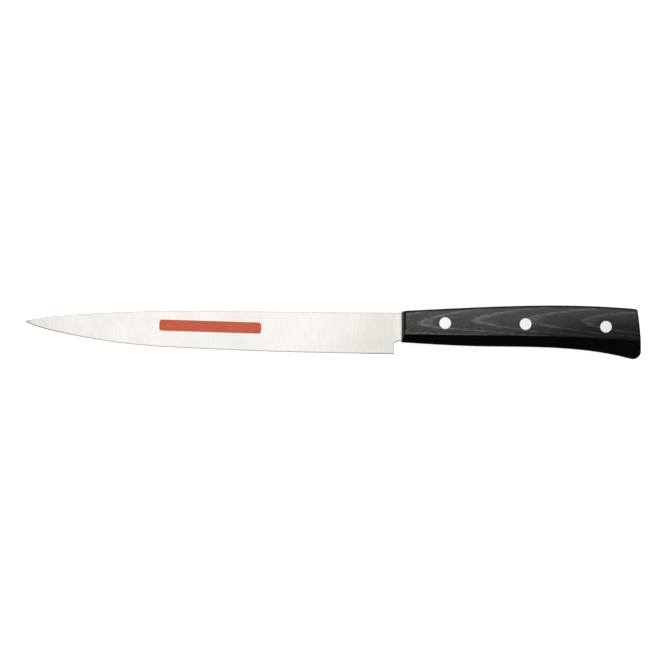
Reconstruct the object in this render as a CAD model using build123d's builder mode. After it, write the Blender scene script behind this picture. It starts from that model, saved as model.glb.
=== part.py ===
"""Flexible fillet knife with a full tang and a riveted slab handle, lying on its right side.

The knife is drawn in its own plane: x runs from the handle's front towards the butt, y is the height over
the straight part of the spine, and z is the distance from the middle of the steel. That plane is placed so
that the knife rests on z = 0 with its box centred on the origin, the tip towards -X and the edge towards -Y.
All sizes are millimetres.
"""

import os
from math import cos, radians, sin, sqrt, tan

from build123d import *

os.makedirs("parts", exist_ok=True)

# Driving sizes of the blade
blade_length = 210.0  # tip to heel
heel_depth = 23.65  # spine to edge at the heel
tip_drop = 6.9  # how far the tip lies below the spine
tip_blunt = 0.4  # how much of the point is rounded away
tip_curve_length = 24.0  # stretch behind the tip where the edge curves most
spine_bend_length = 100.0  # stretch behind the tip over which the spine bends down
stock_thickness = 1.8  # steel at the tang
heel_spine_thickness = 1.7
tip_spine_thickness = 0.6
edge_bevel_height = 0.65
edge_bevel_thickness = 0.3  # steel behind the cutting bevel
spine_ease = 0.2  # small chamfer along both corners of the spine

# Neck between heel and handle, with the choil under it
neck_length = 4.0
neck_depth = 16.1  # spine to the neck's lower side
choil_run = 3.1  # heel to where the choil's arc ends in the neck's lower side
heel_face_top = 17.5  # spine to where the choil's arc leaves the heel

# Driving sizes of the handle
handle_length = 136.0
handle_thickness = 15.0
handle_front_rise = 0.6  # handle over the spine, at its front
handle_front_depth = 16.85
handle_crown = 5.0  # highest point of the back over the spine
butt_rise = 3.4
toe_depth = 26.45  # where the butt and the belly would meet, were the toe not rounded
toe_radius = 4.3
butt_corner_radius = 1.4
butt_setback = 3.1  # how far the butt's upper corner lies ahead of its lower one
butt_bulge = 0.3  # how far the butt's arc stands out from its chord
edge_rounding = 0.7  # rounding of each scale's outer edges

# Rounded bevel across the front of each scale
front_bevel_length = 2.2
front_bevel_depth = 2.75
front_bevel_bulge = 0.42  # how far the bevel's arc stands out from its chord
front_bevel_drop = 0.55  # the same bevel where it wraps over the back

# Side of each scale: a flat land that falls away on both sides of it, and a long bevel underneath
land_top_depth = 2.2  # spine to the land's upper edge
land_width = 6.2
fall_away_angle = 1.5  # degrees at which the rounding leaves the land
fall_away_radius = 60.0  # of the rounding across the handle, at its front
ridge_depth = 12.2  # spine to the long bevel's upper edge, at the handle's front
ridge_butt_drop = 2.5  # how much lower that edge runs at the butt
bevel_angle = 26.0  # degrees off the scale's side, at the handle's front

# Cutlery rivets, each a socket with a pin driven into it
rivet_head_diameter = 6.5
rivet_head_thickness = 1.4
rivet_shank_diameter = 4.8
rivet_pin_diameter = 3.2
rivet_pin_length = 9.6
rivet_pin_lead = 0.5  # chamfer on the pin's end
rivet_bore_spare = 1.2  # bore beyond the pin's end
rivet_shank_gap = 0.4  # socket's open end to the pin's head
rivet_first = 24.4  # handle's front to the first rivet
rivet_pitch = 45.33
rivet_depths = {"front": 5.65, "middle": 5.7, "rear": 6.75}  # below the spine

# Clearances
seat_clearance = 0.04  # round a rivet in its scale
tang_clearance = 0.1  # round a rivet in the tang
pin_clearance = 0.02  # round the pin in its socket
overrun = 2.0  # how far cutting bodies reach past what they cut

# Shapes of the blade's spine and edge: share of the length behind the tip, share of the drop
spine_shares = ((0.0, 1.0), (0.045, 0.85), (0.20, 0.53), (0.475, 0.23), (0.75, 0.05), (1.0, 0.0))
edge_tip_shares = ((0.0, 0.0), (0.02, 0.125), (0.055, 0.26), (0.151, 0.515), (0.313, 0.782))
edge_heel_shares = ((0.45, 0.87), (0.60, 0.935), (0.80, 0.979), (1.0, 1.0))
# Shapes of the handle's back and belly: share of its length, share of the rise or fall from its front
back_shares = ((0.34, 0.706), (0.70, 1.0))
belly_shares = ((0.10, 0.073), (0.285, 0.173), (0.55, 0.194), (0.79, 0.394))
# Side of a scale at even steps from its front to its butt: shares of the ridge's drop, of the rounding's
# radius and of the long bevel's slope
side_shares = (
    (0.0, 1.0, 1.0),
    (0.0, 1.0, 1.0),
    (0.0, 0.94, 1.0),
    (0.05, 0.85, 0.98),
    (0.33, 0.75, 0.90),
    (1.0, 0.65, 0.80),
)
# Limits of the chamfers where the blade gets narrow, as shares of its depth there
narrow_ease_share = 0.12
narrow_bevel_share = 0.35

half_stock = stock_thickness / 2
half_handle = handle_thickness / 2
heel_x = -neck_length
tip_x = heel_x - blade_length


def handle_points(shares, start, rise):
    """Points along the handle, each given as shares of its length and of a rise from its front."""
    return [(handle_length * along, start + rise * up) for along, up in shares]


front_low = (0, -handle_front_depth)
front_high = (0, handle_front_rise)
back_start = (front_bevel_length, handle_front_rise + front_bevel_drop)
back_middle = handle_points(back_shares, handle_front_rise, handle_crown - handle_front_rise)
back_end = (handle_length - butt_setback, butt_rise)
toe = (handle_length, -toe_depth)
belly_middle = handle_points(belly_shares, -handle_front_depth, handle_front_depth - toe_depth)


def handle_outline(plane):
    """The side view that the tang and both scales share."""
    with BuildSketch(plane) as outline:
        with BuildLine():
            Polyline(front_low, front_high, back_start)
            Spline(back_start, *back_middle, back_end)
            SagittaArc(back_end, toe, butt_bulge)
            Spline(toe, *reversed(belly_middle), front_low)
        make_face()
        fillet(outline.vertices().sort_by_distance(plane.from_local_coords(toe))[0], toe_radius)
        corner = outline.vertices().sort_by_distance(plane.from_local_coords(back_end))[0]
        fillet(corner, butt_corner_radius)
    return outline.sketch


# The outline is measured once, so that the knife's box is centred over the origin
measured = handle_outline(Plane.XY).bounding_box()
knife_plane = Plane(
    origin=(
        -(tip_x + tip_blunt + measured.max.X) / 2,
        -(measured.min.Y + measured.max.Y) / 2,
        half_handle,
    )
)


def cross_plane(x):
    """A plane across the knife at x, with its own x axis along the knife's height."""
    return Plane(
        origin=knife_plane.from_local_coords((x, 0, 0)),
        x_dir=knife_plane.y_dir,
        z_dir=knife_plane.x_dir,
    )


def height_on(line, x):
    """Height of a curve of the side view at x."""
    return line.edge().intersect(Plane.YZ.offset(x))[0].Y


# Curves of the side view that the cross-sections follow
with BuildLine() as spine_line:
    Spline([(tip_x + spine_bend_length * along, -tip_drop * down) for along, down in spine_shares])
with BuildLine() as edge_line:
    edge_fall = heel_depth - tip_drop
    edge_points = [*edge_tip_shares, *edge_heel_shares]
    Spline([(tip_x + blade_length * along, -tip_drop - edge_fall * down) for along, down in edge_points])
with BuildLine() as belly_line:
    Spline(front_low, *belly_middle, toe)


def section_face(x, spine, edge, half, half_edge):
    """A section of the blade with eased spine corners, straight flanks and a cutting bevel."""
    ease = min(spine_ease, (spine - edge) * narrow_ease_share)
    bevel = min(edge_bevel_height, (spine - edge) * narrow_bevel_share)
    side = [(spine, half - ease), (spine - ease, half), (edge + bevel, half_edge)]
    other_side = [(y, -z) for y, z in reversed(side)]
    with BuildSketch(cross_plane(x)) as section:
        with BuildLine():
            Polyline(*side, (edge, 0), *other_side, close=True)
        make_face()
    return section.sketch


def blade_section(behind_tip):
    """The ground blade's section at a distance behind the tip."""
    x = tip_x + behind_tip
    spine = 0 if behind_tip >= spine_bend_length else height_on(spine_line, x)
    taper = behind_tip / blade_length
    half = (tip_spine_thickness + (heel_spine_thickness - tip_spine_thickness) * taper) / 2
    return section_face(x, spine, height_on(edge_line, x), half, edge_bevel_thickness / 2)


def blade_span(start, stop, count):
    """A stretch of the blade, lofted through evenly spaced sections so that it doesn't waver."""
    step = (stop - start) / (count - 1)
    with BuildPart() as span:
        loft([blade_section(start + step * number) for number in range(count)])
    return span.part


def slab(bottom, top):
    """The handle's side view, filled between two heights over the middle of the steel."""
    with BuildPart() as filled:
        extrude(handle_outline(knife_plane.offset(bottom)), amount=top - bottom)
    return filled.part


rivet_places = {
    name: (rivet_first + rivet_pitch * number, -depth)
    for number, (name, depth) in enumerate(rivet_depths.items())
}

# Blade, neck and full tang: one piece of steel
with BuildPart() as neck:
    loft([blade_section(blade_length), section_face(0, 0, -heel_depth, half_stock, half_stock)], ruled=True)
    with BuildSketch(knife_plane):
        with BuildLine():
            under = Line((overrun, -neck_depth), (heel_x + choil_run, -neck_depth))
            choil = TangentArc(under @ 1, (heel_x, -heel_face_top), tangent=under % 1)
            below = -heel_depth - overrun
            Polyline(choil @ 1, (heel_x, below), (overrun, below), under @ 0)
        make_face()
    extrude(amount=handle_thickness, both=True, mode=Mode.SUBTRACT)

with BuildPart() as blade_with_tang:
    add(blade_span(tip_blunt, tip_curve_length, 6))
    add(blade_span(tip_curve_length, spine_bend_length, 8))
    add(blade_span(spine_bend_length, blade_length, 5))
    add(neck.part)
    add(slab(-half_stock, half_stock))
    with Locations(*[knife_plane.offset(half_stock) * Location(place) for place in rivet_places.values()]):
        Hole(radius=rivet_shank_diameter / 2 + tang_clearance)


def side_section(x, ridge_share, radius_share, slope_share):
    """What is shaped off the left side, in a plane across the handle: over the land, then down the bevel."""
    radius = fall_away_radius * radius_share
    lead = radius * sin(radians(fall_away_angle))
    centre_height = half_handle - radius * cos(radians(fall_away_angle))

    def rounding(land_edge, centre, end):
        """An arc that clears the land, crosses its edge and falls away to the end."""
        points = (centre, land_edge, end)
        return ThreePointArc([(y, centre_height + sqrt(radius**2 - (y - centre) ** 2)) for y in points])

    high = handle_crown + overrun
    ridge = -ridge_depth - ridge_butt_drop * ridge_share
    low = height_on(belly_line, min(max(x, 0), handle_length)) - overrun
    fall = (ridge - low) * tan(radians(bevel_angle)) * slope_share
    land_top, land_foot = -land_top_depth, -land_top_depth - land_width
    with BuildSketch(cross_plane(x)) as section:
        with BuildLine():
            upper = rounding(land_top, land_top - lead, high)
            lower = rounding(land_foot, land_foot + lead, ridge)
            Line(upper @ 0, lower @ 0)
            foot = (low, (lower @ 1).Y - fall)
            Polyline(lower @ 1, foot, (low, handle_thickness), (high, handle_thickness), upper @ 1)
        make_face()
    return section.sketch


with BuildPart() as left_shaping:
    step = (handle_length + 2 * overrun) / (len(side_shares) - 1)
    loft([side_section(-overrun + step * number, *shares) for number, shares in enumerate(side_shares)])

with BuildPart() as right_shaping:
    mirror(left_shaping.part, about=knife_plane)


# One scale; the other is its mirror image
with BuildPart() as left_scale:
    add(slab(half_stock, half_handle))
    add(left_shaping.part, mode=Mode.SUBTRACT)
    shaped = left_scale.faces().sort_by(Axis.Z)[-4:]
    walls = left_scale.faces() - shaped
    front = left_scale.faces().sort_by(Axis.X)[0]
    fillet((shaped.edges() & walls.edges()) - front.edges(), edge_rounding)
    with BuildSketch(Plane(knife_plane.origin, x_dir=knife_plane.x_dir, z_dir=-knife_plane.y_dir)):
        with BuildLine():
            bevel_foot = (0, half_handle - front_bevel_depth)
            bevel = SagittaArc(bevel_foot, (front_bevel_length, half_handle), front_bevel_bulge)
            Polyline(bevel @ 1, (0, half_handle), bevel_foot)
        make_face()
    extrude(amount=handle_length, both=True, mode=Mode.SUBTRACT)
    with Locations(*[knife_plane.offset(half_handle) * Location(place) for place in rivet_places.values()]):
        CounterBoreHole(
            radius=rivet_shank_diameter / 2 + seat_clearance,
            counter_bore_radius=rivet_head_diameter / 2 + seat_clearance,
            counter_bore_depth=rivet_head_thickness,
        )

with BuildPart() as right_scale:
    mirror(left_scale.part, about=knife_plane)

# Rivets: the heads are ground flush with the crown of the scales
head_seat = half_handle - rivet_head_thickness
pin_end = rivet_pin_length - head_seat
bore_end = pin_end + rivet_bore_spare
shank_end = rivet_shank_gap - head_seat
head_radius = rivet_head_diameter / 2
shank_radius = rivet_shank_diameter / 2
pin_radius = rivet_pin_diameter / 2
bore_radius = pin_radius + pin_clearance
socket_profile = (
    (0, half_handle),
    (head_radius, half_handle),
    (head_radius, head_seat),
    (shank_radius, head_seat),
    (shank_radius, shank_end),
    (bore_radius, shank_end),
    (bore_radius, bore_end),
    (0, bore_end),
)
pin_profile = (
    (0, -half_handle),
    (head_radius, -half_handle),
    (head_radius, -head_seat),
    (pin_radius, -head_seat),
    (pin_radius, pin_end - rivet_pin_lead),
    (pin_radius - rivet_pin_lead, pin_end),
    (0, pin_end),
)


def turned(profile, place, shaping):
    """A turned rivet half from its profile, as (radius, height), shaped with the side it shows on."""
    centre = knife_plane.from_local_coords((*place, 0))
    with BuildPart() as half:
        with BuildSketch(Plane(centre, x_dir=knife_plane.x_dir, z_dir=-knife_plane.y_dir)):
            with BuildLine():
                Polyline(*profile, close=True)
            make_face()
        revolve(axis=Axis(centre, knife_plane.z_dir))
        add(shaping, mode=Mode.SUBTRACT)
    return half.part


pieces = {
    "blade_with_tang": blade_with_tang.part,
    "left_scale": left_scale.part,
    "right_scale": right_scale.part,
}
for name, place in rivet_places.items():
    pieces[f"{name}_rivet_socket"] = turned(socket_profile, place, left_shaping.part)
    pieces[f"{name}_rivet_pin"] = turned(pin_profile, place, right_shaping.part)

for name, piece in pieces.items():
    piece.label = name
    export_step(piece, f"parts/{name}.step")
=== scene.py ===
"""Looks of a flexible fillet knife with a black laminated handle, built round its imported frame."""

import math

import bpy
from bpy.props import FloatProperty, FloatVectorProperty, PointerProperty
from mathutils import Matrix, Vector


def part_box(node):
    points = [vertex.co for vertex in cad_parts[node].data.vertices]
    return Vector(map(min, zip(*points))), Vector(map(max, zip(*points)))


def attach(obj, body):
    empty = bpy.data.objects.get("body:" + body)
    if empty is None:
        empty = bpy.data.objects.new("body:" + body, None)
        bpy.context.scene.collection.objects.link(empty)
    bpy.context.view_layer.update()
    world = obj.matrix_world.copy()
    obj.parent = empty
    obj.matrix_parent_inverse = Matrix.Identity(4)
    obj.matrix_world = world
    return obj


bl_info = {
    "name": "Fillet Knife Finish",
    "version": (1, 0, 0),
    "blender": (4, 5, 0),
    "location": "View3D > Sidebar > Fillet Knife",
    "description": "Satin steel, black laminated scales, a printed bar and a studio",
    "category": "Object",
}

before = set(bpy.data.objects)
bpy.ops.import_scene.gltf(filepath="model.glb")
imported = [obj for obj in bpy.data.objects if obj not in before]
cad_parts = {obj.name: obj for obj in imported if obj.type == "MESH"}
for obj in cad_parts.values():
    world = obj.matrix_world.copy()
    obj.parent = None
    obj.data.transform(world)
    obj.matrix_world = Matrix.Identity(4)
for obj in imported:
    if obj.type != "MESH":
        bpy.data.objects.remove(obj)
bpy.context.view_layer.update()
MM = 0.001

BLADE_LOW, BLADE_HIGH = (Vector(corner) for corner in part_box("blade_with_tang"))
SCALE_LOW, SCALE_HIGH = (Vector(corner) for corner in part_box("left_scale"))

# Places on the knife, in metres
TIP_X = BLADE_LOW.x
FRONT_X = SCALE_LOW.x  # front of the handle
SPINE_Y = 9.973 * MM  # straight part of the blade's spine
MIDDLE_Z = (SCALE_HIGH.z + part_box("right_scale")[0][2]) / 2  # middle of the handle's thickness


# Settings


def colour(name, description, default):
    """One colour that a user may change."""
    return FloatVectorProperty(
        name=name, description=description, subtype="COLOR", min=0, max=1, default=default
    )


def length(name, description, default):
    """One length that a user may change, in metres."""
    return FloatProperty(
        name=name, description=description, unit="LENGTH", precision=5, default=default
    )


def share(name, description, default):
    """One share from nought to one."""
    return FloatProperty(
        name=name, description=description, subtype="FACTOR", min=0, max=1, default=default
    )


class SteelSettings(bpy.types.PropertyGroup):
    """Finish of the blade and the rivets."""

    blade_colour: colour(
        "Blade Colour", "Satin stainless steel of the blade", (0.81, 0.782, 0.752)
    )
    bevel_colour: colour(
        "Bevel Colour", "Ground steel of the cutting bevel", (0.75, 0.74, 0.72)
    )
    # Painted shade: this colour darkens the steel where a side turns over an edge
    edge_shade_colour: colour(
        "Edge Colour", "Steel where the brushing runs over an edge", (0.38, 0.375, 0.37)
    )
    rivet_colour: colour("Rivet Colour", "Polished steel of the rivets", (0.84, 0.84, 0.85))
    blade_roughness: share("Blade Roughness", "Mean roughness of the satin finish", 0.3)
    rivet_roughness: share("Rivet Roughness", "Mean roughness of the rivet heads", 0.2)
    brush_pitch: length(
        "Brush Pitch", "Usual width of the streaks that run across the blade", 1.0 * MM
    )


class PrintSettings(bpy.types.PropertyGroup):
    """The plain bar printed on the blade's left side."""

    length: length("Length", "Length of the bar", 57.9 * MM)
    height: length("Height", "Height of the bar", 6.35 * MM)
    corner: length("Corner", "Radius of the bar's corners", 1.6 * MM)
    behind_tip: length("Behind Tip", "Distance from the tip to the bar's middle", 105.1 * MM)
    below_spine: length("Below Spine", "Distance from the spine to the bar's middle", 8.97 * MM)
    film: length("Film", "Thickness of the ink", 0.03 * MM)
    tilt: FloatProperty(
        name="Tilt",
        description="Lean of the bar's right end",
        subtype="ANGLE",
        default=math.radians(-1.18),
    )
    colour: colour("Colour", "Red ink", (0.555, 0.073, 0.021))


class WoodSettings(bpy.types.PropertyGroup):
    """Figure of the black laminated wood."""

    ground_colour: colour(
        "Ground Colour", "Dyed wood between the streaks", (0.0005, 0.0005, 0.0006)
    )
    streak_colour: colour("Streak Colour", "Pale streaks of the figure", (0.003, 0.003, 0.0034))
    # Painted reflection: this pale colour on the scales' front faces stands in for the blade
    # mirrored there
    front_reflection_colour: colour(
        "End Colour", "Sanded ends of the scales next to the blade", (0.08, 0.08, 0.07)
    )
    arch_pitch: length("Arch Pitch", "Distance from one arch to the next", 31.1 * MM)
    first_arch: length(
        "First Arch", "Distance from the handle's front to the first arch", 8.0 * MM
    )
    arch_drop: length("Arch Drop", "Depth of the arches' axis below the spine", 3.1 * MM)
    roughness: share("Roughness", "Roughness of the polished wood", 0.24)


class StudioSettings(bpy.types.PropertyGroup):
    """Camera, lamps and floor."""

    lens: FloatProperty(name="Lens", description="Focal length in millimetres", default=100)
    distance: length("Distance", "Height of the camera over the blade", 1.049)
    roll: FloatProperty(
        name="Roll",
        description="Turn of the camera about its view",
        subtype="ANGLE",
        default=math.radians(0.6),
    )
    softbox_height: length("Softbox Height", "Height of the softbox over the floor", 1.6)
    softbox_strength: FloatProperty(
        name="Softbox Strength",
        description="Brightness of the softbox as seen in steel",
        default=1.37,
    )
    fill_strength: FloatProperty(
        name="Fill Strength", description="Brightness of the fill light", default=0.75
    )


class KnifeSettings(bpy.types.PropertyGroup):
    """All settings of the knife's finish."""

    steel: PointerProperty(type=SteelSettings)
    ink: PointerProperty(type=PrintSettings)
    wood: PointerProperty(type=WoodSettings)
    studio: PointerProperty(type=StudioSettings)


# Node tools


class Wiring:
    """Adds nodes to one tree from left to right and links them."""

    def __init__(self, tree):
        self.tree = tree

    def add(self, kind, **settings):
        """A node of one kind, with its settings."""
        node = self.tree.nodes.new(kind)
        node.location.x = 180 * len(self.tree.nodes)
        for key, value in settings.items():
            setattr(node, key, value)
        return node

    def feed(self, socket, value):
        """Links a socket to an output, or sets its value."""
        if isinstance(value, bpy.types.NodeSocket):
            self.tree.links.new(value, socket)
        elif value is not None:
            socket.default_value = value

    def math(self, operation, first, second=None, third=None, clamp=False):
        """Arithmetic with up to three values."""
        node = self.add("ShaderNodeMath", operation=operation, use_clamp=clamp)
        for socket, value in zip(node.inputs, (first, second, third)):
            self.feed(socket, value)
        return node.outputs[0]

    def times(self, first, *others):
        """Product of two values or more."""
        for other in others:
            first = self.math("MULTIPLY", first, other)
        return first

    def rest(self, value):
        """What is left of one."""
        return self.math("SUBTRACT", 1.0, value)

    def wander(self, value, noise, reach):
        """A value that noise shifts by up to the reach either way."""
        return self.math("ADD", value, self.math("MULTIPLY_ADD", noise, 2 * reach, -reach))

    def remap(self, value, low, high, out_low=0.0, out_high=1.0, smooth=True):
        """A value's course from low to high, as one from out_low to out_high."""
        node = self.add(
            "ShaderNodeMapRange",
            interpolation_type="SMOOTHSTEP" if smooth else "LINEAR",
        )
        for socket, item in zip(node.inputs[:5], (value, low, high, out_low, out_high)):
            self.feed(socket, item)
        return node.outputs[0]

    def blend(self, factor, first, second):
        """A colour between two colours."""
        node = self.add("ShaderNodeMix", data_type="RGBA")
        self.feed(node.inputs[0], factor)
        for socket, value in ((node.inputs[6], first), (node.inputs[7], second)):
            if isinstance(value, (tuple, list)) and len(value) == 3:
                value = (*value, 1.0)
            self.feed(socket, value)
        return node.outputs[2]

    def split(self, vector):
        """A vector's x, y and z."""
        node = self.add("ShaderNodeSeparateXYZ")
        self.feed(node.inputs[0], vector)
        return node.outputs

    def join(self, x, y, z):
        """A vector from x, y and z."""
        node = self.add("ShaderNodeCombineXYZ")
        for socket, value in zip(node.inputs, (x, y, z)):
            self.feed(socket, value)
        return node.outputs[0]

    def stretch(self, vector, scale):
        """A vector times another, axis by axis."""
        node = self.add("ShaderNodeVectorMath", operation="MULTIPLY")
        self.feed(node.inputs[0], vector)
        self.feed(node.inputs[1], scale)
        return node.outputs[0]

    def enlarge(self, vector, factor):
        """A vector times one value."""
        return self.stretch(vector, self.join(factor, factor, factor))

    def noise(self, place, detail=2.0, roughness=0.5, scale=1.0, dimensions="3D"):
        """Noise at a place, which is a vector in 3D and one value in 1D."""
        node = self.add("ShaderNodeTexNoise", noise_dimensions=dimensions)
        self.feed(node.inputs["W" if dimensions == "1D" else "Vector"], place)
        node.inputs["Scale"].default_value = scale
        node.inputs["Detail"].default_value = detail
        node.inputs["Roughness"].default_value = roughness
        return node.outputs["Fac"]

    def group(self, tree, **values):
        """The outputs of a node group that is given values by the names of its inputs."""
        node = self.add("ShaderNodeGroup", node_tree=tree)
        for name, value in values.items():
            self.feed(node.inputs[name.replace("_", " ")], value)
        return node.outputs


def new_group(name, inputs, outputs):
    """An empty shader group with its sockets; returns (tree, wiring, inputs, outputs)."""
    tree = bpy.data.node_groups.new(name, "ShaderNodeTree")
    for label, kind, value in inputs:
        socket = tree.interface.new_socket(label, in_out="INPUT", socket_type=kind)
        if value is not None:
            socket.default_value = value
    for label, kind in outputs:
        tree.interface.new_socket(label, in_out="OUTPUT", socket_type=kind)
    wires = Wiring(tree)
    entry = wires.add("NodeGroupInput")
    leave = wires.add("NodeGroupOutput")
    return tree, wires, entry.outputs, leave.inputs


def tinted(base, tint):
    """A colour times one tint, kept within one."""
    return tuple(min(1, part * tint) for part in base)


# Kinds of socket
FLOAT, VECTOR = "NodeSocketFloat", "NodeSocketVector"

# Brushing: how far a streak leans, how much noise is squeezed along it and into the steel, and the
# span of noise that is drawn
STREAK_LEAN = 0.05
STREAK_SQUEEZE, STREAK_SQUEEZE_DEEP = 0.13, 0.02
HAIRLINE_SQUEEZE = 0.04
BRUSHING_SPAN = (0.25, 0.75)

# Handling marks: how far a scratch leans, how much noise is squeezed along it, and the spans of
# noise that are drawn
SCRATCH_LEAN, SCRATCH_SQUEEZE = 0.6, 0.04
FILM_SPAN = (0.35, 0.7)
SCRATCH_SPAN = (0.74, 0.8)


def satin_brushing():
    """Streaks and hairlines of a belt or wheel, which run along Y and lean a little."""
    found = bpy.data.node_groups.get("Satin Brushing")
    if found:
        return found
    tree, wires, entry, leave = new_group(
        "Satin Brushing",
        [
            ("Vector", VECTOR, None),
            ("Streaks per Metre", FLOAT, 450.0),
            ("Hairlines per Metre", FLOAT, 4000.0),
        ],
        [("Streaks", FLOAT), ("Hairlines", FLOAT)],
    )
    x, y, z = wires.split(entry["Vector"])
    leaning = wires.math("MULTIPLY_ADD", y, STREAK_LEAN, x)
    streak_place = wires.join(
        leaning, wires.times(y, STREAK_SQUEEZE), wires.times(z, STREAK_SQUEEZE_DEEP)
    )
    coarse = wires.noise(
        wires.enlarge(streak_place, entry["Streaks per Metre"]), detail=3.0, roughness=0.6
    )
    fine_place = wires.join(leaning, wires.times(y, HAIRLINE_SQUEEZE), z)
    fine = wires.noise(wires.enlarge(fine_place, entry["Hairlines per Metre"]), roughness=0.6)
    wires.feed(leave["Streaks"], wires.remap(coarse, *BRUSHING_SPAN, smooth=False))
    wires.feed(leave["Hairlines"], wires.remap(fine, *BRUSHING_SPAN, smooth=False))
    return tree


def handling_marks():
    """Faint cloudy film and a few short scratches left by use."""
    found = bpy.data.node_groups.get("Handling Marks")
    if found:
        return found
    tree, wires, entry, leave = new_group(
        "Handling Marks",
        [("Vector", VECTOR, None), ("Cloud Scale", FLOAT, 60.0), ("Scratch Scale", FLOAT, 700.0)],
        [("Film", FLOAT), ("Scratches", FLOAT)],
    )
    cloud = wires.noise(
        wires.enlarge(entry["Vector"], entry["Cloud Scale"]), detail=4.0, roughness=0.55
    )
    x, y, z = wires.split(entry["Vector"])
    slanted = wires.join(
        wires.math("ADD", x, wires.times(y, SCRATCH_LEAN)),
        wires.times(wires.math("SUBTRACT", y, x), SCRATCH_SQUEEZE),
        z,
    )
    scratch = wires.noise(wires.enlarge(slanted, entry["Scratch Scale"]), detail=0.0)
    wires.feed(leave["Film"], wires.remap(cloud, *FILM_SPAN))
    wires.feed(leave["Scratches"], wires.remap(scratch, *SCRATCH_SPAN))
    return tree


def turned_from_side():
    """How far the surface turns away from the knife's flat side, from its own normal."""
    found = bpy.data.node_groups.get("Turned From Side")
    if found:
        return found
    tree, wires, entry, leave = new_group(
        "Turned From Side",
        [("Normal", VECTOR, None), ("Flat Until", FLOAT, 0.99), ("Full At", FLOAT, 0.97)],
        [("Turned", FLOAT)],
    )
    rise = wires.math("ABSOLUTE", wires.split(entry["Normal"])[2])
    wires.feed(leave["Turned"], wires.remap(rise, entry["Flat Until"], entry["Full At"]))
    return tree


def eased_edges():
    """Where an edge is near: by how far a rounded normal leaves the plain one, or leans over."""
    found = bpy.data.node_groups.get("Eased Edges")
    if found:
        return found
    tree, wires, entry, leave = new_group(
        "Eased Edges",
        [("Radius", FLOAT, 0.5 * MM), ("Sharpest", FLOAT, 0.92), ("Softest", FLOAT, 0.995)],
        [("Edge", FLOAT), ("Lean", FLOAT)],
    )
    bevel = wires.add("ShaderNodeBevel", samples=8)
    wires.feed(bevel.inputs["Radius"], entry["Radius"])
    plain = wires.add("ShaderNodeNewGeometry")
    match = wires.add("ShaderNodeVectorMath", operation="DOT_PRODUCT")
    wires.feed(match.inputs[0], bevel.outputs[0])
    wires.feed(match.inputs[1], plain.outputs["Normal"])
    wires.feed(
        leave["Edge"], wires.remap(match.outputs["Value"], entry["Softest"], entry["Sharpest"])
    )
    rise = wires.math("ABSOLUTE", wires.split(bevel.outputs[0])[2])
    wires.feed(leave["Lean"], wires.remap(rise, entry["Softest"], entry["Sharpest"]))
    return tree


def new_material(name):
    """A material with an empty tree, a coordinate node, a shader and its output."""
    made = bpy.data.materials.new(name)
    made.use_nodes = True
    made.node_tree.nodes.clear()
    wires = Wiring(made.node_tree)
    place = wires.add("ShaderNodeTexCoord")
    shader = wires.add("ShaderNodeBsdfPrincipled")
    result = wires.add("ShaderNodeOutputMaterial")
    wires.feed(result.inputs["Surface"], shader.outputs[0])
    return made, wires, place, shader


def roughen(wires, shader, height, depth):
    """Bump from one height, as deep as given in metres."""
    bump = wires.add("ShaderNodeBump")
    bump.inputs["Strength"].default_value = 1.0
    bump.inputs["Distance"].default_value = depth
    wires.feed(bump.inputs["Height"], height)
    wires.feed(shader.inputs["Normal"], bump.outputs[0])


def dress(node, material):
    """Puts one material on a node of the frame."""
    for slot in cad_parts[node].material_slots:
        slot.material = material


def settings():
    """The knife's settings, as the scene keeps them."""
    return bpy.context.scene.fillet_knife


# Materials

# Blade: how much each effect darkens, lightens or roughens the satin steel
DARK_STREAK, LIGHT_STREAK = 0.92, 1.07
HAIRLINE_SHARE, FILM_SHARE = 0.4, 0.25
SMOOTHER, ROUGHER, FILM_ROUGHER = 0.03, 0.04, 0.03
SCRATCH_DEPTH = 0.6  # against the hairlines' depth

# Blade: darker stretch before the handle
HEEL_TINT = (0.88, 0.87, 0.842)
HEEL_STRETCH = (FRONT_X - 45 * MM, FRONT_X - 15 * MM)
HEEL_HAIRLINES, HEEL_EVENLY = 0.6, 0.2

# Blade: how far the painted shade of a turned edge reaches, at the heel, along the spine and under
# the neck
EDGE_REACH, SPINE_EDGE_REACH, NECK_EDGE_REACH = 0.6 * MM, 1.0 * MM, 1.5 * MM
EDGE_SHARE, NECK_EDGE_TINT = 0.95, 0.4
SPINE_BAND_Y = SPINE_Y - 3.0 * MM
NECK_START_X, NECK_TOP_Y = FRONT_X - 4.2 * MM, SPINE_Y - 10.0 * MM

# Blade: where the cutting bevel darkens, towards the heel and towards the tip
BEVEL_TINT = 0.62
BEVEL_AT_HEEL = (FRONT_X - 30 * MM, FRONT_X - 10 * MM)
BEVEL_AT_TIP = (TIP_X + 45 * MM, TIP_X + 12 * MM)


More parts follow.
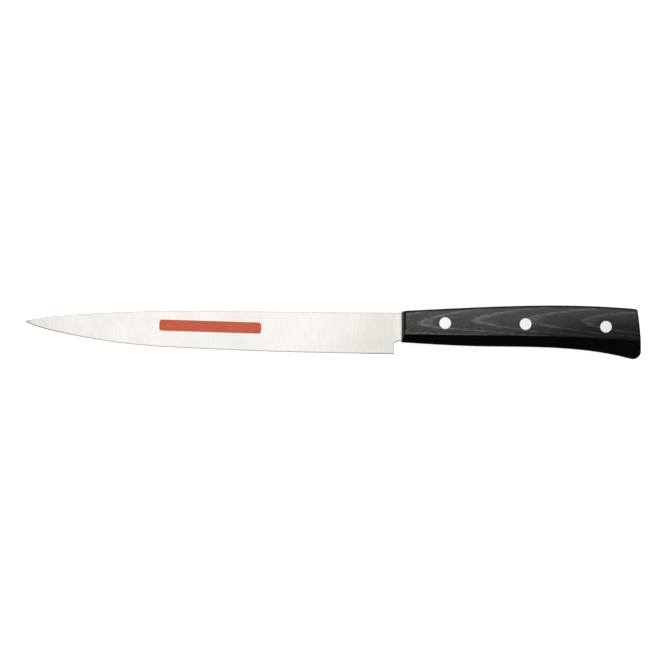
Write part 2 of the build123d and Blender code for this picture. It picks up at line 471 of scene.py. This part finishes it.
def blade_steel():
    """Satin steel, streaked across the blade, with a darker ground cutting bevel."""
    steel = settings().steel
    made, wires, place, shader = new_material("satin_blade_steel")
    spot = place.outputs["Object"]
    brushed = wires.group(
        satin_brushing(),
        Vector=spot,
        Streaks_per_Metre=1.0 / steel.brush_pitch,
        Hairlines_per_Metre=2600.0,
    )
    marks = wires.group(handling_marks(), Vector=spot, Cloud_Scale=45.0, Scratch_Scale=650.0)
    turned = wires.group(
        turned_from_side(), Normal=place.outputs["Normal"], Flat_Until=0.992, Full_At=0.975
    )["Turned"]
    base = tuple(steel.blade_colour)
    dark, light = tinted(base, DARK_STREAK), tinted(base, LIGHT_STREAK)
    shade = wires.blend(brushed["Streaks"], dark, light)
    shade = wires.blend(wires.times(brushed["Hairlines"], HAIRLINE_SHARE), shade, light)
    shade = wires.blend(wires.times(marks["Film"], FILM_SHARE), shade, dark)
    x, y, _ = wires.split(spot)
    shade = darker_heel(wires, shade, base, brushed["Hairlines"], x)
    # Painted shade where the sides turn over at the edges
    shade = painted_edge_shade(wires, shade, tuple(steel.edge_shade_colour), x, y)
    shade = wires.blend(turned, shade, cutting_bevel(wires, tuple(steel.bevel_colour), x))
    wires.feed(shader.inputs["Base Color"], shade)
    rough = wires.remap(
        brushed["Hairlines"],
        0.0,
        1.0,
        steel.blade_roughness - SMOOTHER,
        steel.blade_roughness + ROUGHER,
        smooth=False,
    )
    rough = wires.math("ADD", rough, wires.times(marks["Film"], FILM_ROUGHER))
    wires.feed(shader.inputs["Roughness"], rough)
    shader.inputs["Metallic"].default_value = 1.0
    scratches = wires.times(marks["Scratches"], SCRATCH_DEPTH)
    height = wires.math("ADD", brushed["Hairlines"], scratches)
    roughen(wires, shader, height, depth=0.0012 * MM)
    return made


def darker_heel(wires, shade, base, hairlines, x):
    """The last stretch before the handle is a little darker, mostly in its hairlines."""
    toward_heel = wires.remap(x, *HEEL_STRETCH)
    lines = wires.remap(hairlines, *BRUSHING_SPAN)
    heel_darkening = wires.math("MULTIPLY_ADD", lines, HEEL_HAIRLINES, HEEL_EVENLY)
    heel_tone = tuple(part * tint for part, tint in zip(base, HEEL_TINT))
    return wires.blend(wires.times(toward_heel, heel_darkening), shade, heel_tone)


def painted_edge_shade(wires, shade, edge_shade_colour, x, y):
    """Painted shade: thin darker lines where the side turns over, along the spine, the heel and the
    neck.
    """
    under_neck = wires.times(
        wires.math("GREATER_THAN", x, NECK_START_X), wires.math("LESS_THAN", y, NECK_TOP_Y)
    )
    along_spine = wires.math("GREATER_THAN", y, SPINE_BAND_Y)
    reach = wires.math("MULTIPLY_ADD", along_spine, SPINE_EDGE_REACH - EDGE_REACH, EDGE_REACH)
    reach = wires.math("MULTIPLY_ADD", under_neck, NECK_EDGE_REACH - EDGE_REACH, reach)
    edge = wires.group(eased_edges(), Radius=reach)["Edge"]
    edge_shade = wires.blend(under_neck, edge_shade_colour, tinted(edge_shade_colour, NECK_EDGE_TINT))
    return wires.blend(wires.times(edge, EDGE_SHARE), shade, edge_shade)


def cutting_bevel(wires, bevel_colour, x):
    """Colour of the cutting bevel, darker towards the heel and the tip."""
    near_end = wires.math(
        "MAXIMUM", wires.remap(x, *BEVEL_AT_HEEL), wires.remap(x, *BEVEL_AT_TIP)
    )
    return wires.blend(near_end, bevel_colour, tinted(bevel_colour, BEVEL_TINT))


# Rivets
RIVET_STREAK = 0.9
RIVET_SMOOTHER, RIVET_ROUGHER = 0.03, 0.08


def rivet_steel():
    """Polished rivet heads with fine lines and a few marks."""
    steel = settings().steel
    made, wires, place, shader = new_material("polished_rivet_steel")
    spot = place.outputs["Object"]
    brushed = wires.group(
        satin_brushing(), Vector=spot, Streaks_per_Metre=900.0, Hairlines_per_Metre=7000.0
    )
    marks = wires.group(handling_marks(), Vector=spot, Cloud_Scale=240.0, Scratch_Scale=1400.0)
    base = tuple(steel.rivet_colour)
    shade = wires.blend(brushed["Streaks"], tinted(base, RIVET_STREAK), base)
    wires.feed(shader.inputs["Base Color"], shade)
    smoothest = steel.rivet_roughness - RIVET_SMOOTHER
    roughest = steel.rivet_roughness + RIVET_ROUGHER
    rough = wires.remap(marks["Film"], 0.0, 1.0, smoothest, roughest)
    wires.feed(shader.inputs["Roughness"], rough)
    shader.inputs["Metallic"].default_value = 1.0
    height = wires.math("ADD", marks["Scratches"], brushed["Hairlines"])
    roughen(wires, shader, height, depth=0.0015 * MM)
    return made


# Wood: noise cells per millimetre along, across and through a scale
LONG_WARP = (0.03, 0.11, 0.1)
FINE_WARP = (0.12, 0.5, 0.3)
RAGGED_ENDS = (0.1, 1.4, 1.2)
FIBRE = (0.22, 5.5, 5.5)
MOTTLE = (0.33, 1.5, 1.5)
VENEER = (0.012, 0.012, 1.7)
THREADS_PER_MM = 0.9

# Wood: where each noise shows, and how pale the veneers' lines get
FIBRE_SPAN = (0.36, 0.72)
MOTTLE_SPAN = (0.34, 0.66)
THREAD_SPAN = (0.42, 0.6)
VENEER_SPAN = (0.45, 0.68, 0.0, 0.35)

# Wood: how far noise shifts the arches' axis and the arches, in millimetres
AXIS_SHIFT = 1.3
LONG_SHIFT, FINE_SHIFT, RAGGED_SHIFT = 4.5, 1.2, 3.2

# Wood: the axis is highest so many millimetres behind the handle's front. It bends down with the
# square of the distance from there, and an arch trails with the square of that from the axis
AXIS_TOP, AXIS_BOW, ARCH_TRAIL = 85.0, 0.0005, 0.815
ARCHES = 4.0
ARCH_RISE, ARCH_FALL = (0.0, 0.02), (0.38, 0.04)  # shares of the arches' pitch

# Wood: contrast and floor of the streaks in an arch, and how pale the threads between arches are
THREAD_CONTRAST, THREAD_FLOOR = 0.6, 0.55
MOTTLE_CONTRAST, MOTTLE_FLOOR = 1.15, 0.2
BETWEEN_ARCHES = 0.3

# Wood's sheen, which also paints shade onto the sides: two places in millimetres, and the level at
# each
LOWNESS = (7.0, -9.0)  # across, from the arches' axis; the others run along, from the front
CREST = (50.0, 125.0, 0.4, 0.315)
SHADE_DRIFT = (40.0, 120.0, 0.24, 0.465)
FADING = (20.0, 130.0, 0.2, 0.7)
GLOSS = (20.0, 110.0, 1.15, 0.68)
FIBRE_SHEEN = 0.07

# Wood: places in millimetres behind the handle's front, and one below the spine
FRONT_BEVEL_END, BUTT_START = 3.0, 131.0
BACK_START = 1.2
RIM_REACH = 2.4 * MM
REFLECTING_FACING = (0.6, 0.95)  # how far a face looks towards the blade

# Wood: what its fibres and the film on it add to its roughness, and how it mirrors
FIBRE_COURSE = (0.3, 0.8)
FIBRE_SMOOTHER, FIBRE_ROUGHER, WOOD_FILM_ROUGHER = 0.03, 0.05, 0.04
WOOD_SCRATCH_DEPTH = 0.4  # against the fibres' depth
BASE_IOR, COAT_IOR = 1.25, 2.1
COOL_TINT = (0.9, 0.9, 1.0, 1.0)


def laminated_wood():
    """Black laminated wood: nested arches along the sides, veneer lines round the edges."""
    wood = settings().wood
    made, wires, place, shader = new_material("black_laminated_wood")
    spot, normal = place.outputs["Object"], place.outputs["Normal"]
    in_mm = wires.stretch(spot, (1 / MM, 1 / MM, 1 / MM))
    x, y, z = wires.split(in_mm)
    x = wires.math("SUBTRACT", x, FRONT_X / MM)
    depth = wires.math("SUBTRACT", y, (SPINE_Y - wood.arch_drop) / MM)
    fibre = wires.noise(wires.stretch(in_mm, FIBRE), detail=3.0, roughness=0.6)
    fibres = wires.remap(fibre, *FIBRE_SPAN)
    streak = arched_streaks(wires, wood, in_mm, x, depth)
    veneer = wires.noise(wires.stretch(wires.join(x, y, z), VENEER), roughness=0.6)
    veneers = wires.remap(veneer, *VENEER_SPAN)
    tilt = wires.group(turned_from_side(), Normal=normal, Flat_Until=0.8, Full_At=0.35)
    turned = tilt["Turned"]
    on_sides = wires.times(streak, wires.rest(turned))
    pale = wires.math("ADD", on_sides, wires.times(veneers, turned), clamp=True)
    shade = wires.blend(pale, tuple(wood.ground_colour), tuple(wood.streak_colour))
    # Painted reflection of the blade on the front faces of the scales, next to it
    facing_blade = wires.times(wires.split(normal)[0], -1.0)
    at_front = wires.math("LESS_THAN", x, FRONT_BEVEL_END)
    front_reflection = wires.times(wires.remap(facing_blade, *REFLECTING_FACING), at_front)
    shade = wires.blend(front_reflection, shade, tuple(wood.front_reflection_colour))
    wires.feed(shader.inputs["Base Color"], shade)
    marks = wires.group(handling_marks(), Vector=spot, Cloud_Scale=70.0, Scratch_Scale=500.0)
    smoothest, roughest = wood.roughness - FIBRE_SMOOTHER, wood.roughness + FIBRE_ROUGHER
    rough = wires.remap(fibre, *FIBRE_COURSE, smoothest, roughest, smooth=False)
    rough = wires.math("ADD", rough, wires.times(marks["Film"], WOOD_FILM_ROUGHER))
    wires.feed(shader.inputs["Roughness"], rough)
    shader.inputs["IOR"].default_value = BASE_IOR
    shader.inputs["Specular Tint"].default_value = COOL_TINT
    # Painted shade: the sheen falls towards the belly and butt, for a rounding that the sides lack
    sheen = sheen_and_painted_shade(wires, x, depth, fibres, pale)
    # Painted shade: tilted faces and the rims of back and butt lose the coat, which stays on the
    # sides
    polished = polish_with_painted_shade(wires, wood, x, depth, normal)
    wires.feed(shader.inputs["Coat Weight"], wires.times(sheen, polished))
    shader.inputs["Coat IOR"].default_value = COAT_IOR
    shader.inputs["Coat Roughness"].default_value = wood.roughness
    height = wires.math("ADD", fibres, wires.times(marks["Scratches"], WOOD_SCRATCH_DEPTH))
    roughen(wires, shader, height, depth=0.004 * MM)
    return made


def arched_streaks(wires, wood, in_mm, x, depth):
    """How pale the figure is: groups of thin threads that follow nested arches."""
    off_top = wires.math("SUBTRACT", x, AXIS_TOP)
    bow = wires.times(off_top, off_top, AXIS_BOW)
    long_warp = wires.noise(wires.stretch(in_mm, LONG_WARP))
    fine_warp = wires.noise(wires.stretch(in_mm, FINE_WARP))
    ragged = wires.noise(wires.stretch(in_mm, RAGGED_ENDS), roughness=0.6)
    across = wires.wander(wires.math("ADD", depth, bow), long_warp, AXIS_SHIFT)
    run = wires.math("SUBTRACT", x, wires.times(across, across, ARCH_TRAIL))
    for noise, reach in ((long_warp, LONG_SHIFT), (fine_warp, FINE_SHIFT), (ragged, RAGGED_SHIFT)):
        run = wires.wander(run, noise, reach)
    turns = wires.math(
        "DIVIDE", wires.math("SUBTRACT", run, wood.first_arch / MM), wood.arch_pitch / MM
    )
    phase = wires.math("FRACT", turns)
    group = wires.times(
        wires.remap(phase, *ARCH_RISE),
        wires.remap(phase, *ARCH_FALL),
        wires.math("LESS_THAN", turns, ARCHES),
    )
    thread = wires.noise(run, roughness=0.7, scale=THREADS_PER_MM, dimensions="1D")
    threads = wires.remap(thread, *THREAD_SPAN)
    mottle = wires.noise(wires.stretch(in_mm, MOTTLE), roughness=0.6)
    mottles = wires.remap(mottle, *MOTTLE_SPAN)
    streak = wires.times(
        group,
        wires.math("MULTIPLY_ADD", threads, THREAD_CONTRAST, THREAD_FLOOR),
        wires.math("MULTIPLY_ADD", mottles, MOTTLE_CONTRAST, MOTTLE_FLOOR),
    )
    return wires.math("MAXIMUM", streak, wires.times(threads, mottles, BETWEEN_ARCHES))


def sheen_and_painted_shade(wires, x, depth, fibres, pale):
    """Sheen of a scale's side: it rises in the figure, and falls towards the belly and butt as
    painted shade.
    """
    lowness = wires.remap(depth, *LOWNESS, smooth=False)
    fall = wires.times(lowness, wires.remap(x, *SHADE_DRIFT))
    sheen = wires.math("SUBTRACT", wires.remap(x, *CREST), fall)
    sheen = wires.math("MULTIPLY_ADD", fibres, FIBRE_SHEEN, wires.math("MAXIMUM", sheen, 0.0))
    fading = wires.times(lowness, wires.remap(x, *FADING))
    glint = wires.times(pale, wires.rest(fading))
    return wires.math("MULTIPLY_ADD", glint, wires.remap(x, *GLOSS), sheen, clamp=True)


def polish_with_painted_shade(wires, wood, x, depth, normal):
    """Where a scale keeps its polish: its sides. A tilted face and the rim of back and butt lose it
    as painted shade.
    """
    tilt = wires.group(turned_from_side(), Normal=normal, Flat_Until=0.97, Full_At=0.91)
    turned = tilt["Turned"]
    rim = wires.group(eased_edges(), Radius=RIM_REACH, Sharpest=0.95, Softest=0.982)["Lean"]
    along_back = wires.math("GREATER_THAN", depth, wood.arch_drop / MM - BACK_START)
    at_butt = wires.math("GREATER_THAN", x, BUTT_START)
    rim = wires.times(rim, wires.math("MAXIMUM", along_back, at_butt))
    return wires.times(wires.rest(turned), wires.rest(rim))


# Ink
INK_LIGHT, INK_DARK, INK_FILM_SHARE = 1.1, 0.92, 0.3
INK_ROUGHNESS = (0.42, 0.5)


def red_ink():
    """Matt red ink, a little uneven, that follows the brushing under it."""
    ink = settings().ink
    made, wires, place, shader = new_material("red_print_ink")
    spot = place.outputs["Object"]
    brushed = wires.group(
        satin_brushing(), Vector=spot, Streaks_per_Metre=450.0, Hairlines_per_Metre=5200.0
    )
    marks = wires.group(handling_marks(), Vector=spot, Cloud_Scale=120.0, Scratch_Scale=900.0)
    base = tuple(ink.colour)
    shade = wires.blend(brushed["Streaks"], base, tinted(base, INK_LIGHT))
    film = wires.times(marks["Film"], INK_FILM_SHARE)
    wires.feed(shader.inputs["Base Color"], wires.blend(film, shade, tinted(base, INK_DARK)))
    rough = wires.remap(marks["Film"], 0.0, 1.0, *INK_ROUGHNESS)
    wires.feed(shader.inputs["Roughness"], rough)
    roughen(wires, shader, brushed["Hairlines"], depth=0.001 * MM)
    return made


# Operators


class KNIFE_OT_finish_blade(bpy.types.Operator):
    """Gives the blade its satin steel"""

    bl_idname = "fillet_knife.finish_blade"
    bl_label = "Finish Blade"

    def execute(self, context):
        dress("blade_with_tang", blade_steel())
        return {"FINISHED"}


class KNIFE_OT_finish_scales(bpy.types.Operator):
    """Gives both scales their black laminated wood"""

    bl_idname = "fillet_knife.finish_scales"
    bl_label = "Finish Scales"

    def execute(self, context):
        wood = laminated_wood()
        for side in ("left_scale", "right_scale"):
            dress(side, wood)
        return {"FINISHED"}


class KNIFE_OT_finish_rivets(bpy.types.Operator):
    """Gives the three rivets their polished steel"""

    bl_idname = "fillet_knife.finish_rivets"
    bl_label = "Finish Rivets"

    def execute(self, context):
        steel = rivet_steel()
        for spot in ("front", "middle", "rear"):
            for half in ("socket", "pin"):
                dress(f"{spot}_rivet_{half}", steel)
        return {"FINISHED"}


# Print: where it starts over the steel, how near a corner a vertex is, how flat the bar has to
# lie, and its thickness against the film that shows, so that it reaches into the steel
PRINT_LIFT = 2.0 * MM
NEAR_CORNER = 0.01 * MM
FLAT_ENOUGH = 0.5 * MM
SUNK_FILM = 1.5


class KNIFE_OT_add_print(bpy.types.Operator):
    """Adds the plain red bar printed on the blade"""

    bl_idname = "fillet_knife.add_print"
    bl_label = "Add Print"

    def execute(self, context):
        ink = settings().ink
        bpy.ops.object.select_all(action="DESELECT")
        start = BLADE_HIGH.z + PRINT_LIFT
        middle = (TIP_X + ink.behind_tip, SPINE_Y - ink.below_spine, start)
        bpy.ops.mesh.primitive_grid_add(
            x_subdivisions=28, y_subdivisions=3, size=1, location=middle
        )
        bar = context.object
        bar.name = bar.data.name = "red_bar_print"
        bpy.ops.object.mode_set(mode="EDIT")
        bpy.ops.transform.resize(value=(ink.length, ink.height, 1))
        bpy.ops.mesh.select_all(action="DESELECT")
        bpy.ops.object.mode_set(mode="OBJECT")
        corner = Vector((ink.length / 2, ink.height / 2))
        for vertex in bar.data.vertices:
            off = Vector((abs(vertex.co.x), abs(vertex.co.y))) - corner
            vertex.select = off.length < NEAR_CORNER
        bpy.ops.object.mode_set(mode="EDIT")
        bpy.ops.mesh.bevel(affect="VERTICES", offset=ink.corner, segments=6)
        bpy.ops.object.mode_set(mode="OBJECT")
        bar.rotation_euler.z = ink.tilt
        bpy.ops.object.transform_apply(location=True, rotation=True, scale=True)
        drape = bar.modifiers.new("Lay on Steel", "SHRINKWRAP")
        drape.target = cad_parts["blade_with_tang"]
        drape.wrap_method = "PROJECT"
        drape.use_project_z = True
        drape.use_negative_direction = True
        drape.use_positive_direction = False
        drape.offset = ink.film
        bpy.ops.object.modifier_apply(modifier=drape.name)
        film = bar.modifiers.new("Ink Film", "SOLIDIFY")
        film.thickness = ink.film * SUNK_FILM
        film.offset = -1
        bpy.ops.object.modifier_apply(modifier=film.name)
        if bar.dimensions.z > FLAT_ENOUGH:
            raise RuntimeError("the print did not lie down on the blade")
        bpy.ops.object.shade_smooth_by_angle(angle=math.radians(30))
        bar.data.materials.append(red_ink())
        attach(bar, "root")
        return {"FINISHED"}


# Studio: the camera's place over the knife, and the lamps that the steel mirrors. Each has a place
# over the knife, a lift over the softbox's height, a size and a share of the softbox's strength
CAMERA_PLACE = (-0.07 * MM, -1.63 * MM)
MIRRORED_LAMPS = (
    ("softbox", (-0.15, 0.3), 0.0, (0.5, 1.4), 0.27),
    ("wide_softbox", (-0.15, 0.28), 0.02, (1.6, 1.46), 0.77),
    ("front_strip", (-0.15, -0.83), 0.0, (2.0, 0.4), 0.75),
)
FILL_PLACE, FILL_SIZE = (0, 0, 2.4), (6, 6)

# Studio: the floor, and its glow at two distances from the knife, in metres
FLOOR_SIZE = 14
FLOOR_GLOW = (1.2, 4.0, 0.55, 1.0)

# Studio: the room, as two values of a direction's x, y or z, and where they aren't nought and one,
# the brightness at each
TIP_SIDE_X, TIP_SIDE_Y = (-0.3, -0.6), (-0.5, -0.2)
TIP_WALL = (0.42, 0.2, 0.24, 0.8)
LOW_WALLS = (0.52, 0.34, 0.04, 0.4)
BACK_WALL = (0.2, 0.5, 0.04, 0.36)
HORIZON = (0.04, 0.0)


class KNIFE_OT_add_studio(bpy.types.Operator):
    """Adds the camera, the lamps, the world and a white floor"""

    bl_idname = "fillet_knife.add_studio"
    bl_label = "Add Studio"

    def execute(self, context):
        studio = settings().studio
        self.camera(context, studio)
        self.floor()
        self.lamps(studio)
        self.world(context)
        context.scene.view_settings.view_transform = "Standard"
        return {"FINISHED"}

    def camera(self, context, studio):
        bpy.ops.object.select_all(action="DESELECT")
        bpy.ops.object.camera_add(
            location=(*CAMERA_PLACE, MIDDLE_Z + studio.distance),
            rotation=(0, 0, studio.roll),
        )
        camera = context.object
        camera.name = "view_from_above"
        camera.data.lens = studio.lens
        camera.data.sensor_width = 36
        context.scene.camera = camera

    def floor(self):
        bpy.ops.object.select_all(action="DESELECT")
        bpy.ops.mesh.primitive_plane_add(size=FLOOR_SIZE, location=(0, 0, 0))
        floor = bpy.context.object
        floor.name = "white_floor"
        made, wires, place, shader = new_material("white_floor_paint")
        shader.inputs["Base Color"].default_value = (0.9, 0.9, 0.9, 1)
        shader.inputs["Roughness"].default_value = 0.9
        shader.inputs["Specular IOR Level"].default_value = 0.0
        path = wires.add("ShaderNodeLightPath")
        seen = wires.math("MAXIMUM", path.outputs["Is Camera Ray"], path.outputs["Is Glossy Ray"])
        seen = wires.math("MAXIMUM", seen, path.outputs["Is Transmission Ray"])
        shader.inputs["Emission Color"].default_value = (1, 1, 1, 1)
        away = wires.add("ShaderNodeVectorMath", operation="LENGTH")
        wires.feed(away.inputs[0], place.outputs["Object"])
        glow = wires.remap(away.outputs["Value"], *FLOOR_GLOW)
        wires.feed(shader.inputs["Emission Strength"], wires.times(seen, glow))
        floor.data.materials.append(made)

    def lamps(self, studio):
        for name, place, lift, size, part in MIRRORED_LAMPS:
            place = (*place, studio.softbox_height + lift)
            self.area_lamp(name, place, size, studio.softbox_strength * part)
        fill = self.area_lamp("fill", FILL_PLACE, FILL_SIZE, studio.fill_strength)
        fill.visible_glossy = False

    def area_lamp(self, name, place, size, strength):
        bpy.ops.object.select_all(action="DESELECT")
        bpy.ops.object.light_add(type="AREA", location=place)
        lamp = bpy.context.object
        lamp.name = name
        lamp.data.shape = "RECTANGLE"
        lamp.data.size, lamp.data.size_y = size
        lamp.data.energy = strength * math.pi * size[0] * size[1]
        return lamp

    def world(self, context):
        world = bpy.data.worlds.new("studio_room")
        context.scene.world = world
        world.use_nodes = True
        wires = Wiring(world.node_tree)
        world.node_tree.nodes.clear()
        place = wires.add("ShaderNodeTexCoord")
        x, y, z = wires.split(place.outputs["Generated"])
        tip_side = wires.times(wires.remap(x, *TIP_SIDE_X), wires.remap(y, *TIP_SIDE_Y))
        level = wires.times(tip_side, wires.remap(z, *TIP_WALL))
        for part, span in ((z, LOW_WALLS), (y, BACK_WALL), (z, HORIZON)):
            level = wires.math("MAXIMUM", level, wires.remap(part, *span))
        background = wires.add("ShaderNodeBackground")
        background.inputs["Color"].default_value = (1, 1, 1, 1)
        wires.feed(background.inputs["Strength"], level)
        result = wires.add("ShaderNodeOutputWorld")
        wires.feed(result.inputs["Surface"], background.outputs[0])


class KNIFE_PT_finish(bpy.types.Panel):
    """Lists the steps that dress the knife"""

    bl_idname = "KNIFE_PT_finish"
    bl_label = "Fillet Knife"
    bl_space_type = "VIEW_3D"
    bl_region_type = "UI"
    bl_category = "Fillet Knife"

    def draw(self, context):
        for step in STEPS:
            self.layout.operator(step.bl_idname)
        for part in ("steel", "ink", "wood", "studio"):
            box = self.layout.box()
            box.label(text=part.title())
            group = getattr(settings(), part)
            for name in group.__annotations__:
                box.prop(group, name)


STEPS = (
    KNIFE_OT_finish_blade,
    KNIFE_OT_finish_scales,
    KNIFE_OT_finish_rivets,
    KNIFE_OT_add_print,
    KNIFE_OT_add_studio,
)
CLASSES = (
    SteelSettings,
    PrintSettings,
    WoodSettings,
    StudioSettings,
    KnifeSettings,
    *STEPS,
    KNIFE_PT_finish,
)


def register():
    for item in CLASSES:
        bpy.utils.register_class(item)
    bpy.types.Scene.fillet_knife = PointerProperty(type=KnifeSettings)


def unregister():
    del bpy.types.Scene.fillet_knife
    for item in reversed(CLASSES):
        bpy.utils.unregister_class(item)


def main():
    register()
    bpy.ops.fillet_knife.finish_blade()
    bpy.ops.fillet_knife.finish_scales()
    bpy.ops.fillet_knife.finish_rivets()
    bpy.ops.fillet_knife.add_print()
    bpy.ops.fillet_knife.add_studio()


if __name__ == "__main__":
    main()
